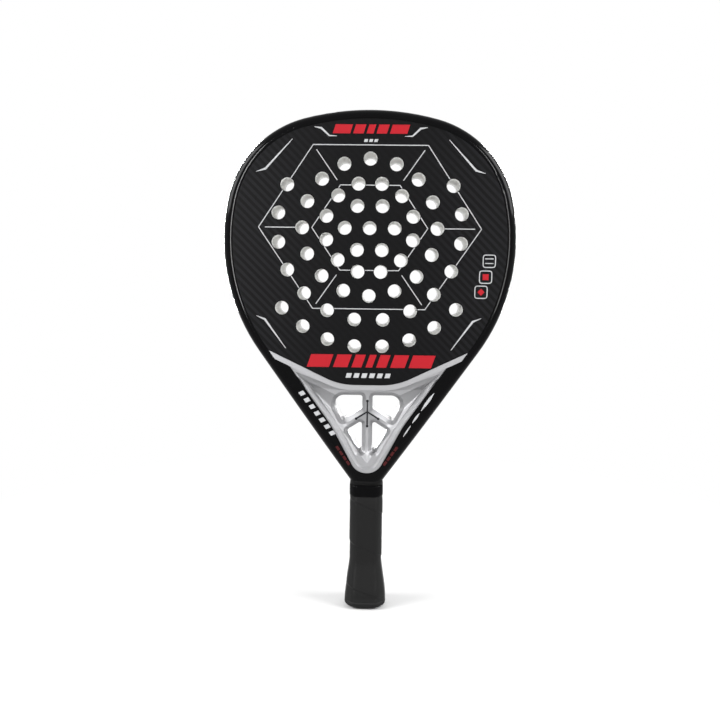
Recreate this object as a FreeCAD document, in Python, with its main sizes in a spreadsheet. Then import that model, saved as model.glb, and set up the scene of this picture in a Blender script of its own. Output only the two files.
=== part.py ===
"""A padel racket: a moulded frame with its handle stem, a drilled foam core between two laminate
faces, a truss casting in the throat, and the wrapped grip with its collar, tape and butt cap.

The racket stands on its butt: +Z runs up the handle to the top of the head, the front face looks
towards -Y, and the origin is the centre of the butt's flat end. Lengths are in millimetres and
angles in degrees.
"""

import FreeCAD
import Part

import math
import os
import re

import Sketcher
from FreeCAD import Vector

SIZES = [
    ("handle_length", 123, "butt to the foot of the flanks"),
    ("head_length", 332, "foot of the flanks to the top of the head"),
    ("head_width", 260, "across the widest point of the head"),
    ("head_thickness", 38, "front rim to back rim"),
    ("widest_drop", 114.5, "top down to the widest point"),
    ("top_radius", 231, "outline across the top"),
    ("shoulder_radius", 93, "outline round the shoulders"),
    ("side_radius", 170, "outline down the sides"),
    ("tube_width", 13, "frame tube, seen from the front"),
    ("leg_width", 15.7, "frame beside the throat"),
    ("rim_radius", 7.5, "rounding of the rim's outer edges"),
    ("face_inset", 8.5, "edge of the faces, in from the outline"),
    ("face_thickness", 1.2, "one laminate face"),
    ("face_recess", 0.1, "face below the rim"),
    ("bond_gap", 0.2, "glue line round every bonded piece"),
    ("crossing_rise", 90.5, "foot of the flanks up to the faces' lowest point"),
    ("crossing_flat", 12, "half the level stretch there"),
    ("crossing_radius", 60, "bend at each end of that stretch"),
    ("crossing_angle", 25.6, "rise of the faces' lower edge"),
    ("band_width", 4.7, "silver band along that edge"),
    ("taper_drop", 1, "faces' lowest point down to where the throat starts to thin"),
    ("throat_turn", 7.5, "lower sides of the throat, steeper than the flanks"),
    ("throat_bend_radius", 80, "bend above those lower sides"),
    ("throat_tip_rise", 7.5, "foot of the flanks up to the bottom of the throat"),
    ("throat_tip_radius", 15.5, "rounding of that bottom"),
    ("ring_drop", 102, "top down to the centre of the drilled rings"),
    ("hole_diameter", 12, "each drilled hole"),
    ("inner_ring", 22, "radius of the ring of six"),
    ("second_ring", 39.5, "radius of the ring of twelve"),
    ("third_ring", 59.5, "radius of the ring of sixteen"),
    ("fourth_ring", 81.5, "radius of the open ring of fourteen"),
    ("outer_ring", 105, "radius of the arc of eight"),
    ("truss_thickness", 25, "throat truss, front to back"),
    ("node_drop", 25.7, "faces' lowest point down to where the truss members meet"),
    ("ridge_width", 2.4, "flat top of each truss member"),
    ("bevel_width", 3.5, "bevel round each opening"),
    ("web_angle", 32.5, "slanting members, below level"),
    ("opening_side", 10.8, "upright outer side of the upper openings"),
    ("opening_radius", 8.5, "outer corners of the upper openings"),
    ("corner_radius", 2, "other corners of the openings"),
    ("dish_lip", 0.5, "lip beside the dished throat"),
    ("dish_slope", 4.7, "width of the dish's sloping side"),
    ("side_rib", 1.4, "flat between that slope and the openings' bevel"),
    ("dish_end_lip", 0.5, "lip below the band"),
    ("dish_end_slope", 1.2, "slope below the band, in the middle"),
    ("gusset_angle", 4, "rise of that slope's lower edge, so that it widens outwards"),
    ("top_rib", 0.9, "flat between that slope and the openings' bevel"),
    ("inlay_width", 1.3, "dark line let into the truss"),
    ("inlay_dot", 2.4, "dot at the end of each line"),
    ("inlay_depth", 0.6, "how deep the line is let in"),
    ("inlay_up", 10, "line above the node"),
    ("inlay_down", 13.3, "line below the node"),
    ("inlay_side", 12, "line along each slanting member"),
    ("stem_width", 26, "handle stem across"),
    ("stem_depth", 23.4, "handle stem front to back"),
    ("stem_bevel", 5, "corners of the stem"),
    ("stem_wall", 2.5, "laminate of the stem"),
    ("stem_overlap", 4, "stem inside the flanks' foot"),
    ("stem_plug", 20, "solid laminate at the stem's upper end"),
    ("cap_floor", 7, "thickness of the butt cap's end"),
    ("cap_width", 38.8, "butt cap across"),
    ("cap_depth", 35.6, "butt cap front to back"),
    ("cap_bevel", 7.5, "corners of the butt cap"),
    ("cap_edge_radius", 4.5, "rounding of its lower edge"),
    ("skirt_height", 32, "top of the cap's skirt"),
    ("skirt_wall", 0.9, "skirt at its top"),
    ("skirt_flare", 3.3, "how far the skirt widens downwards"),
    ("cord_hole_diameter", 6, "hole for a wrist cord"),
    ("knot_room_diameter", 14, "hollow above that hole"),
    ("knot_room_depth", 20, "its depth in the foam"),
    ("grip_thickness", 2.2, "wrapped grip on the stem"),
    ("grip_waist", 0.5, "how much the grip narrows low down"),
    ("grip_waist_height", 43, "height of that waist"),
    ("grip_flare_height", 13, "where the grip is widest"),
    ("grip_bevel", 5, "corners of the grip"),
    ("collar_length", 6, "rubber collar above the grip"),
    ("tape_length", 10.5, "band over the end of the grip"),
    ("tape_lap", 1.5, "how far it laps onto the collar"),
    ("tape_thickness", 0.4, "thickness of that band"),
]
NAMES = {name for name, _, _ in SIZES}

# Heights, as formulas over the sizes.
TOP = "(handle_length + head_length)"
WIDEST = f"({TOP} - widest_drop)"
RINGS = f"({TOP} - ring_drop)"
CROSSING = "(handle_length + crossing_rise)"
TAPER = f"({CROSSING} - taper_drop)"
NODE = f"({CROSSING} - node_drop)"
TIP = "(handle_length + throat_tip_rise)"
GRIP_TOP = "(handle_length - collar_length - bond_gap)"

# The flanks' foot is flush with the grip. From there each flank runs straight up to touch the
# side arc, so its angle from upright is the angle of the line to that arc's centre less the
# angle between that line and the radius that meets the flank squarely.
FOOT_ACROSS = "(stem_width / 2 + grip_thickness)"
FOOT_DEEP = "(stem_depth / 2 + grip_thickness)"
SIDE_ACROSS = "(head_width / 2 - side_radius)"
REACH = f"sqrt(({FOOT_ACROSS} - {SIDE_ACROSS}) ^ 2 + (head_length - widest_drop) ^ 2)"
FLANK = (
    f"(atan2(head_length - widest_drop; {FOOT_ACROSS} - {SIDE_ACROSS})"
    f" - acos(side_radius / {REACH}))"
)
THROAT = f"({FLANK} - throat_turn * 1 deg)"

# Faces and bands lie in rebates; everything between them is this thick.
INNER_THICKNESS = "(head_thickness - 2 * (face_thickness + face_recess))"

HOLLOW_DEPTH = "(handle_length - stem_plug - cap_floor)"

# Widths of the truss, from its ribs, slopes and bevels.
MEMBER = "(ridge_width + 2 * bevel_width)"
BORDER = "(dish_lip + dish_slope + side_rib + bevel_width)"
OPENING_TOP = f"({CROSSING} - band_width - dish_end_lip - dish_end_slope - top_rib - bevel_width)"

doc = FreeCAD.newDocument("padel_racket")
sheet = doc.addObject("Spreadsheet::Sheet", "Sizes")
for row, (name, number, note) in enumerate(SIZES, start=1):
    sheet.set(f"A{row}", name)
    sheet.set(f"B{row}", str(number))
    sheet.set(f"C{row}", note)
    sheet.setAlias(f"B{row}", name)
doc.recompute()


def bound(formula):
    """The formula with each size pointing into the sheet."""
    return re.sub(r"[a-z_]+", lambda m: f"Sizes.{m[0]}" if m[0] in NAMES else m[0], str(formula))


def value(formula):
    """What the formula comes to now."""
    return float(sheet.evalExpression(bound(formula)))


def bind(item, **formulas):
    """Ties properties of an object to formulas over the sheet."""
    for prop, formula in formulas.items():
        item.setExpression(prop, bound(formula))


def new_body(label):
    body = doc.addObject("PartDesign::Body", label)
    body.Label = label
    return body


def origin_of(body, role):
    return next(item for item in body.Origin.OriginFeatures if item.Role == role)


class Drawing:
    """A sketch on a plane of its body's origin: geometry drawn in place, then held by constraints."""

    def __init__(self, body, name, plane="XZ_Plane", offset="0", rise="0"):
        self.sketch = body.newObject("Sketcher::SketchObject", name)
        self.sketch.AttachmentSupport = (origin_of(body, plane), [""])
        self.sketch.MapMode = "FlatFace"
        self.sketch.setExpression("AttachmentOffset.Base.z", bound(offset))
        self.sketch.setExpression("AttachmentOffset.Base.y", bound(rise))

    def line(self, start, end):
        return self.sketch.addGeometry(Part.LineSegment(Vector(*start, 0), Vector(*end, 0)))

    def arc(self, centre, radius, low, high):
        circle = Part.Circle(Vector(*centre, 0), Vector(0, 0, 1), radius)
        return self.sketch.addGeometry(Part.ArcOfCircle(circle, math.radians(low), math.radians(high)))

    def circle(self, across, up, diameter):
        """A circle at formulas across and up, of a formula's diameter."""
        centre = Vector(value(across), value(up), 0)
        geo = self.sketch.addGeometry(Part.Circle(centre, Vector(0, 0, 1), value(diameter) / 2))
        self.hold("Diameter", geo, size=diameter)
        self.place(geo, 3, across, up)
        return geo

    def hold(self, kind, *parts, size=None):
        if size is None:
            self.sketch.addConstraint(Sketcher.Constraint(kind, *parts))
            return
        index = self.sketch.addConstraint(Sketcher.Constraint(kind, *parts, value(size)))
        self.sketch.setExpression(f"Constraints[{index}]", bound(size))

    def place(self, geo, point, across, up):
        """Holds a point of a piece of geometry at two formulas."""
        self.hold("DistanceX", -1, 1, geo, point, size=across)
        self.hold("DistanceY", -1, 1, geo, point, size=up)

    def mirror_point(self, right, left, point):
        """Holds the left point as the mirror image of the right one."""
        self.hold("Symmetric", right, point, left, point, -2)

    def polygon(self, corners):
        """A closed outline through corners given as pairs of formulas."""
        points = [(value(across), value(up)) for across, up in corners]
        edges = [self.line(a, b) for a, b in zip(points, points[1:] + points[:1])]
        for edge, following, (across, up) in zip(edges, edges[1:] + edges[:1], corners[1:] + corners[:1]):
            self.hold("Coincident", edge, 2, following, 1)
            self.place(edge, 2, across, up)


def flank_at(inset, height):
    """Half the width between the straight flanks, moved in by inset, at a height."""
    return f"({FOOT_ACROSS} + ({height} - handle_length) * tan({FLANK}) - {inset} / cos({FLANK}))"


def throat_at(inset, height):
    """Half the width between the throat's lower sides, moved in by inset, at a height."""
    return f"(({height} - {throat_apex()}) * tan({THROAT}) - {inset} / cos({THROAT}))"


def throat_apex(inset="0"):
    """Height where the throat's lower sides, moved in by inset, would meet."""
    return f"({TIP} - throat_tip_radius * (1 / sin({THROAT}) - 1) + {inset} / sin({THROAT}))"


def touch_height(inset):
    """Where the side arc, moved in by inset, turns into the straight flank."""
    return f"({WIDEST} - (side_radius - {inset}) * sin({FLANK}))"


def crossing_corner(inset, drop, slope="crossing_angle"):
    """Where the sloping end of the faces' lower edge, moved down by drop, meets the head's
    outline, moved in by inset: on the straight flank or, above that, on the side arc.
    """
    bend = f"(crossing_radius + {drop})"
    base = (
        f"({CROSSING} - {drop} + {bend} * (1 - cos({slope}))"
        f" - (crossing_flat + {bend} * sin({slope})) * tan({slope}))"
    )
    across = f"(({flank_at(inset, 0)} + {base} * tan({FLANK})) / (1 - tan({slope}) * tan({FLANK})))"
    up = f"({base} + {across} * tan({slope}))"
    if value(up) > value(touch_height(inset)):
        # The line up = base + across * tan meets the circle where a quadratic in across is zero.
        below = f"({WIDEST} - {base})"
        middle = f"({SIDE_ACROSS} + tan({slope}) * {below})"
        rest = f"({SIDE_ACROSS} ^ 2 + {below} ^ 2 - (side_radius - {inset}) ^ 2)"
        square = f"(1 + tan({slope}) ^ 2)"
        across = f"(({middle} + sqrt({middle} ^ 2 - {square} * {rest})) / {square})"
        up = f"({base} + {across} * tan({slope}))"
    return across, up


def head_curve(draw, inset, across, up):
    """The head's outline moved in by inset: a top arc, then shoulder arc, side arc and straight
    flank on each side, ending at the mirrored points (across, up). Where those lie above the
    flanks, the side arcs end there. Returns the last piece on each side and its lower end.
    """
    top = (0, value(f"{TOP} - top_radius"))
    side = (value(SIDE_ACROSS), value(WIDEST))
    radius = {part: value(f"{part}_radius - {inset}") for part in ("top", "shoulder", "side")}
    # The shoulder's centre is as far from the other two as each pair of radii differs.
    to_top = radius["top"] - radius["shoulder"]
    to_side = radius["side"] - radius["shoulder"]
    span = math.dist(top, side)
    along = (to_top**2 - to_side**2 + span**2) / (2 * span)
    off = math.sqrt(to_top**2 - along**2)
    ahead = ((side[0] - top[0]) / span, (side[1] - top[1]) / span)
    shoulder = (top[0] + along * ahead[0] - off * ahead[1], top[1] + along * ahead[1] + off * ahead[0])
    if shoulder[0] < side[0]:
        shoulder = (top[0] + along * ahead[0] + off * ahead[1], top[1] + along * ahead[1] - off * ahead[0])
    upper = math.degrees(math.atan2(shoulder[1] - top[1], shoulder[0] - top[0]))
    lower = math.degrees(math.atan2(shoulder[1] - side[1], shoulder[0] - side[0]))
    end = (value(across), value(up))
    straight = end[1] < value(touch_height(inset))
    flank = value(FLANK) if straight else math.degrees(math.atan2(side[1] - end[1], end[0] - side[0]))
    start = (
        side[0] + radius["side"] * math.cos(math.radians(flank)),
        side[1] - radius["side"] * math.sin(math.radians(flank)),
    )

    crown = draw.arc(top, radius["top"], upper, 180 - upper)
    right = [
        draw.arc(shoulder, radius["shoulder"], lower, upper),
        draw.arc(side, radius["side"], -flank, lower),
    ]
    left = [
        draw.arc((-shoulder[0], shoulder[1]), radius["shoulder"], 180 - upper, 180 - lower),
        draw.arc((-side[0], side[1]), radius["side"], 180 - lower, 180 + flank),
    ]
    draw.hold("Tangent", crown, 1, right[0], 2)
    draw.hold("Tangent", right[0], 1, right[1], 2)
    draw.hold("Tangent", crown, 2, left[0], 1)
    draw.hold("Tangent", left[0], 2, left[1], 1)
    draw.hold("Radius", crown, size=f"top_radius - {inset}")
    draw.hold("Radius", right[0], size=f"shoulder_radius - {inset}")
    draw.hold("Radius", right[1], size=f"side_radius - {inset}")
    draw.hold("Equal", right[0], left[0])
    draw.hold("Equal", right[1], left[1])
    draw.hold("PointOnObject", crown, 3, -2)
    draw.hold("DistanceY", -1, 1, crown, 3, size=f"{TOP} - top_radius")
    draw.place(right[1], 3, SIDE_ACROSS, WIDEST)
    draw.mirror_point(right[1], left[1], 3)
    if not straight:
        draw.hold("DistanceY", -1, 1, right[1], 1, size=up)
        draw.hold("DistanceY", -1, 1, left[1], 2, size=up)
        return (right[1], 1), (left[1], 2)
    flanks = draw.line(start, end), draw.line((-start[0], start[1]), (-end[0], end[1]))
    draw.hold("Tangent", right[1], 1, flanks[0], 1)
    draw.hold("Tangent", left[1], 2, flanks[1], 1)
    draw.place(flanks[0], 2, across, up)
    draw.mirror_point(*flanks, 2)
    return (flanks[0], 2), (flanks[1], 2)


def crossing_curve(draw, drop, ends, slope="crossing_angle"):
    """The faces' lower edge moved down by drop: level in the middle, a bend at each side, then
    straight to the two ends, each a piece of geometry and one of its points.
    """
    level = value(f"{CROSSING} - {drop}")
    flat = value("crossing_flat")
    radius = value(f"crossing_radius + {drop}")
    turn = value(slope)
    rise = math.radians(turn)
    bend_end = (flat + radius * math.sin(rise), level + radius * (1 - math.cos(rise)))
    corner = draw.sketch.getPoint(*ends[0])
    middle = draw.line((-flat, level), (flat, level))
    bends = [
        draw.arc((flat, level + radius), radius, -90, turn - 90),
        draw.arc((-flat, level + radius), radius, -90 - turn, -90),
    ]
    arms = [
        draw.line(bend_end, (corner.x, corner.y)),
        draw.line((-bend_end[0], bend_end[1]), (-corner.x, corner.y)),
    ]
    draw.hold("Tangent", middle, 2, bends[0], 1)
    draw.hold("Tangent", bends[0], 2, arms[0], 1)
    draw.hold("Tangent", middle, 1, bends[1], 2)
    draw.hold("Tangent", bends[1], 1, arms[1], 1)
    draw.hold("Radius", bends[0], size=f"crossing_radius + {drop}")
    draw.hold("Equal", bends[0], bends[1])
    draw.hold("Symmetric", middle, 1, middle, 2, -2)
    draw.place(middle, 2, "crossing_flat", f"{CROSSING} - {drop}")
    for arm, end in zip(arms, ends):
        draw.hold("Coincident", arm, 2, *end)


def mirrored_lines(draw, upper, lower):
    """A line on the right between two points given as formulas, and its mirror image."""
    start = [value(formula) for formula in upper]
    end = [value(formula) for formula in lower]
    right = draw.line(start, end)
    left = draw.line((-start[0], start[1]), (-end[0], end[1]))
    for point, formulas in ((1, upper), (2, lower)):
        draw.place(right, point, *formulas)
        draw.mirror_point(right, left, point)
    return right, left


def loop_sketch(body, name):
    """The whole loop of the frame: the head outline closed by a level foot."""
    draw = Drawing(body, name)
    ends = head_curve(draw, "0", FOOT_ACROSS, "handle_length")
    points = [draw.sketch.getPoint(*end) for end in ends]
    foot = draw.line(*[(point.x, point.y) for point in points])
    for point, end in enumerate(ends, start=1):
        draw.hold("Coincident", foot, point, *end)
    return draw.sketch


def panel_sketch(body, name, inset, drop, offset="0"):
    """The face panel: the head outline closed by the crossing curve."""
    draw = Drawing(body, name, offset=offset)
    crossing_curve(draw, drop, head_curve(draw, inset, *crossing_corner(inset, drop)))
    return draw.sketch


def throat_bend(inset):
    """Where the throat's upper side, leg_width in from the flank, ends in the bend above the
    lower side: above the point where the two sides would meet by the bend's tangent length.
    """
    upper = flank_at(f"(leg_width + {inset})", 0)
    lower = throat_at(inset, 0)
    meet = f"(({lower} - {upper}) / (tan({FLANK}) - tan({THROAT})))"
    reach = f"((throat_bend_radius + {inset}) * tan(throat_turn / 2))"
    up = f"({meet} + {reach} * cos({FLANK}))"
    return f"({upper} + {up} * tan({FLANK}))", up


def throat_sketch(body, name, inset, drop, offset="0", slope="crossing_angle"):
    """The throat below the crossing curve, moved in by inset. Each side runs beside its flank,
    bends steeper and ends in the round tip.
    """
    draw = Drawing(body, name, offset=offset)
    centre = (0, value(f"{TIP} + throat_tip_radius"))
    radius = value(f"throat_tip_radius - {inset}")
    flank, angle = value(FLANK), value(THROAT)
    corner = crossing_corner(f"(leg_width + {inset})", drop, slope)
    bend = throat_bend(inset)
    bend_radius = value(f"throat_bend_radius + {inset}")
    start = [value(formula) for formula in corner]
    top = [value(formula) for formula in bend]
    cos, sin = math.cos(math.radians(flank)), math.sin(math.radians(flank))
    bend_centre = (top[0] + bend_radius * cos, top[1] - bend_radius * sin)
    cos, sin = math.cos(math.radians(angle)), math.sin(math.radians(angle))
    foot = (bend_centre[0] - bend_radius * cos, bend_centre[1] + bend_radius * sin)
    touch = (radius * cos, centre[1] - radius * sin)
    sides = {}
    for turn, low, high in ((1, 180 - flank, 180 - angle), (-1, angle, flank)):
        place = [(turn * across, up) for across, up in (start, top, foot, touch, bend_centre)]
        upper = draw.line(place[0], place[1])
        curve = draw.arc(place[4], bend_radius, low, high)
        lower = draw.line(place[2], place[3])
        first, last = (1, 2) if turn > 0 else (2, 1)
        sides[turn] = upper, curve, lower, first, last
    tip = draw.arc(centre, radius, 180 + angle, 360 - angle)
    for turn, tip_end in ((1, 2), (-1, 1)):
        upper, curve, lower, first, last = sides[turn]
        draw.hold("Tangent", upper, 2, curve, first)
        draw.hold("Tangent", curve, last, lower, 1)
        draw.hold("Tangent", lower, 2, tip, tip_end)
    right, left = sides[1], sides[-1]
    draw.place(right[0], 1, *corner)
    draw.place(right[0], 2, *bend)
    draw.mirror_point(right[0], left[0], 1)
    draw.mirror_point(right[0], left[0], 2)
    draw.hold("Radius", right[1], size=f"throat_bend_radius + {inset}")
    draw.hold("Equal", right[1], left[1])
    draw.hold("Radius", tip, size=f"throat_tip_radius - {inset}")
    draw.hold("PointOnObject", tip, 3, -2)
    draw.hold("DistanceY", -1, 1, tip, 3, size=f"{TIP} + throat_tip_radius")
    crossing_curve(draw, drop, ((right[0], 1), (left[0], 1)), slope)
    return draw.sketch


def band_sketch(body, name, inset, upper, lower, offset):
    """The strip between two crossing curves, cut off along the flanks."""
    draw = Drawing(body, name, offset=offset)
    corners = [crossing_corner(inset, drop) for drop in (upper, lower)]
    ends = mirrored_lines(draw, *corners)
    for drop, point in ((upper, 1), (lower, 2)):
        crossing_curve(draw, drop, [(end, point) for end in ends])
    return draw.sketch


def octagon_corners(width, depth, bevel):
    half_width, half_depth = f"({width}) / 2", f"({depth}) / 2"
    corners = []
    for sign_x, sign_y, bevel_first in ((1, 1, True), (-1, 1, False), (-1, -1, True), (1, -1, False)):
        side = (f"{sign_x} * ({half_width})", f"{sign_y} * ({half_depth} - ({bevel}))")
        end = (f"{sign_x} * ({half_width} - ({bevel}))", f"{sign_y} * ({half_depth})")
        corners += [side, end] if bevel_first else [end, side]
    return corners


def octagon_sketch(body, name, height, *outlines):
    """Eight-sided handle sections at a height, each a width, a depth and a bevel."""
    draw = Drawing(body, name, plane="XY_Plane", offset=height)
    for outline in outlines:
        draw.polygon(octagon_corners(*outline))
    return draw.sketch


def add_pad(body, name, sketch, length, symmetric=False):
    pad = body.newObject("PartDesign::Pad", name)
    pad.Profile = sketch
    pad.SideType = "Symmetric" if symmetric else "One side"
    bind(pad, Length=length)
    return pad


def add_pocket(body, name, sketch, depth=None, towards_normal=False):
    """A pocket of a depth, or right through both ways. It has to take something away."""
    doc.recompute()
    before = body.Shape.Volume
    pocket = body.newObject("PartDesign::Pocket", name)
    pocket.Profile = sketch
    if depth is None:
        pocket.SideType = "Symmetric"
        pocket.Type = "ThroughAll"
    else:
        bind(pocket, Length=depth)
        pocket.Reversed = towards_normal
    doc.recompute()
    if not body.Shape.Volume < before:
        raise RuntimeError(f"{name} cuts nothing")
    return pocket


def add_loft(body, name, kind, sections):
    """A ruled loft through sketches; kind is Additive or Subtractive."""
    loft = body.newObject(f"PartDesign::{kind}Loft", name)
    loft.Profile = sections[0]
    loft.Sections = sections[1:]
    loft.Ruled = True
    return loft


def edges_where(feature, test):
    """Names of the feature's edges whose middle passes the test."""
    doc.recompute()
    names = []
    for index, edge in enumerate(feature.Shape.Edges, start=1):
        low, high = edge.ParameterRange
        if test(edge.valueAt((low + high) / 2)):
            names.append(f"Edge{index}")
    if not names:
        raise RuntimeError(f"no edges found on {feature.Name}")
    return names


def add_dressing(body, kind, name, feature, edges, **formulas):
    """A Fillet or Chamfer on named edges of a feature."""
    dressing = body.newObject(f"PartDesign::{kind}", name)
    dressing.Base = (feature, edges)
    bind(dressing, **formulas)
    return dressing


def upright_edges(feature, corners):
    """Edges running front to back at any of the corners, given as pairs of formulas."""
    spots = [(value(across), value(up)) for across, up in corners]
    return edges_where(feature, lambda mid: any(math.dist((mid.x, mid.z), spot) < 0.01 for spot in spots))


def taper_cut(body, name, face, foot):
    """Thins the throat front and back along a long arc: tangent to the half thickness face at
    its upper end, and at the half thickness foot where the flanks end.
    """
    draw = Drawing(body, f"{name}_outline", plane="YZ_Plane")
    height = f"({TAPER} - handle_length)"
    thinning = f"({face} - {foot})"
    radius = f"(({height} ^ 2 + {thinning} ^ 2) / (2 * {thinning}))"
    outside, below = "head_thickness", "handle_length - tube_width"
    turn = math.degrees(math.asin(value(height) / value(radius)))
    for side in (1, -1):
        centre = (side * value(f"{face} - {radius}"), value(TAPER))
        low, high = (-turn, 0) if side > 0 else (180, 180 + turn)
        curve = draw.arc(centre, value(radius), low, high)
        upper, lower = (2, 1) if side > 0 else (1, 2)
        draw.hold("DistanceY", -1, 1, curve, 3, size=TAPER)
        draw.place(curve, upper, f"{side} * {face}", TAPER)
        draw.place(curve, lower, f"{side} * {foot}", "handle_length")
        corners = [
            (f"{side} * {foot}", "handle_length"),
            (f"{side} * {foot}", below),
            (f"{side} * {outside}", below),
            (f"{side} * {outside}", TAPER),
            (f"{side} * {face}", TAPER),
        ]
        points = [(value(across), value(up)) for across, up in corners]
        lines = [draw.line(a, b) for a, b in zip(points, points[1:])]
        draw.hold("Coincident", lines[0], 1, curve, lower)
        for line, following, corner in zip(lines, lines[1:], corners[1:]):
            draw.hold("Coincident", line, 2, following, 1)
            draw.place(line, 2, *corner)
        draw.hold("Coincident", lines[-1], 2, curve, upper)
    return add_pocket(body, name, draw.sketch)


def drill_rings(body):
    """The drilled pattern: a centre hole, three full rings and two rings open at the top."""
    rings = [
        ("inner", "inner_ring", 0, 6, 360),
        ("second", "second_ring", 15, 12, 360),
        ("third", "third_ring", 0, 16, 360),
        ("fourth", "fourth_ring", 27, 14, 13 * 18),
        ("outer", "outer_ring", -42.4, 8, 7 * 13.6),
    ]
    draw = Drawing(body, "centre_hole", rise=RINGS)
    draw.circle("0", "0", "hole_diameter")
    add_pocket(body, "centre_hole_cut", draw.sketch)
    for name, radius, start, count, sweep in rings:
        draw = Drawing(body, f"{name}_hole", rise=RINGS)
        draw.circle(f"{radius} * cos({start})", f"{radius} * sin({start})", "hole_diameter")
        pocket = add_pocket(body, f"{name}_hole_cut", draw.sketch)
        pattern = body.newObject("PartDesign::PolarPattern", f"{name}_holes")
        pattern.Originals = [pocket]
        pattern.Axis = (draw.sketch, ["N_Axis"])
        pattern.Angle = sweep
        pattern.Occurrences = count
        pattern.Reversed = sweep < 360
        body.Tip = pattern


def build_frame():
    """Moulded loop of the head and throat, with the rebates for the faces and the handle stem."""
    body = new_body("frame")
    loop = loop_sketch(body, "loop_outline")
    add_pad(body, "loop", loop, "head_thickness", symmetric=True)
    taper = taper_cut(body, "taper", "(head_thickness / 2)", FOOT_DEEP)
    foot, bend = value("handle_length"), value(TAPER)

    def on_rim(mid):
        return abs(mid.y) > 1 and mid.z > foot + 1 and abs(mid.z - bend) > 0.1

    add_dressing(body, "Fillet", "rim", taper, edges_where(taper, on_rim), Radius="rim_radius")
    head_opening = panel_sketch(body, "head_opening_outline", "tube_width", "bond_gap")
    add_pocket(body, "head_opening", head_opening)
    throat = throat_sketch(body, "throat_outline", "0", "0")
    add_pocket(body, "throat", throat)
    stem = octagon_sketch(body, "stem_outline", "cap_floor", ("stem_width", "stem_depth", "stem_bevel"))
    add_pad(body, "stem", stem, "handle_length + stem_overlap - cap_floor")
    hollow = octagon_sketch(body, "stem_hollow_outline", "cap_floor", stem_hollow("0"))
    add_pocket(body, "stem_hollow", hollow, HOLLOW_DEPTH, towards_normal=True)
    for side, sign in (("front", 1), ("back", -1)):
        level = f"{sign} * head_thickness / 2"
        rebate = panel_sketch(body, f"{side}_rebate_outline", "face_inset", "(band_width + bond_gap)", level)
        depth = "face_thickness + face_recess"
        add_pocket(body, f"{side}_rebate", rebate, depth, towards_normal=sign < 0)


def stem_hollow(gap):
    """Width, depth and corner of the stem's hollow, moved in by gap."""
    inset = f"2 * (stem_wall + {gap})"
    return f"stem_width - {inset}", f"stem_depth - {inset}", "stem_bevel - 0.6 * stem_wall"


def build_core():
    """Foam core of the head, drilled through."""
    body = new_body("eva_core")
    outline = panel_sketch(body, "core_outline", "(tube_width + bond_gap)", "0")
    add_pad(body, "core", outline, INNER_THICKNESS, symmetric=True)
    drill_rings(body)


def build_face(side, sign):
    """Laminate face in the frame's rebate, drilled like the core."""
    body = new_body(f"face_{side}")
    level = f"{sign} * {INNER_THICKNESS} / 2"
    outline = panel_sketch(body, f"face_{side}_outline", "(face_inset + bond_gap)", "0", level)
    pad = add_pad(body, f"face_{side}_sheet", outline, "face_thickness")
    pad.Reversed = sign < 0
    drill_rings(body)


def build_band(side, sign):
    """Silver band along the lower edge of a face."""
    body = new_body(f"throat_band_{side}")
    level = f"{sign} * {INNER_THICKNESS} / 2"
    inset = "(face_inset + bond_gap)"
    outline = band_sketch(body, f"band_{side}_outline", inset, "bond_gap", "band_width", level)
    pad = add_pad(body, f"band_{side}_strip", outline, "face_thickness")
    pad.Reversed = sign < 0


def web_corner(side):
    """Where the upper (side 1) or lower (side -1) edge of a slanting member meets the border."""
    level = f"({NODE} + {side} * {MEMBER} / (2 * cos(web_angle)))"
    across = f"({throat_at(BORDER, level)} / (1 + tan(web_angle) * tan({THROAT})))"
    return across, f"({level} - {across} * tan(web_angle))"


def spoke_corner(side):
    """Where the same edge meets the upright member."""
    level = f"({NODE} + {side} * {MEMBER} / (2 * cos(web_angle)))"
    return f"({MEMBER} / 2)", f"({level} - {MEMBER} / 2 * tan(web_angle))"


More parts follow.
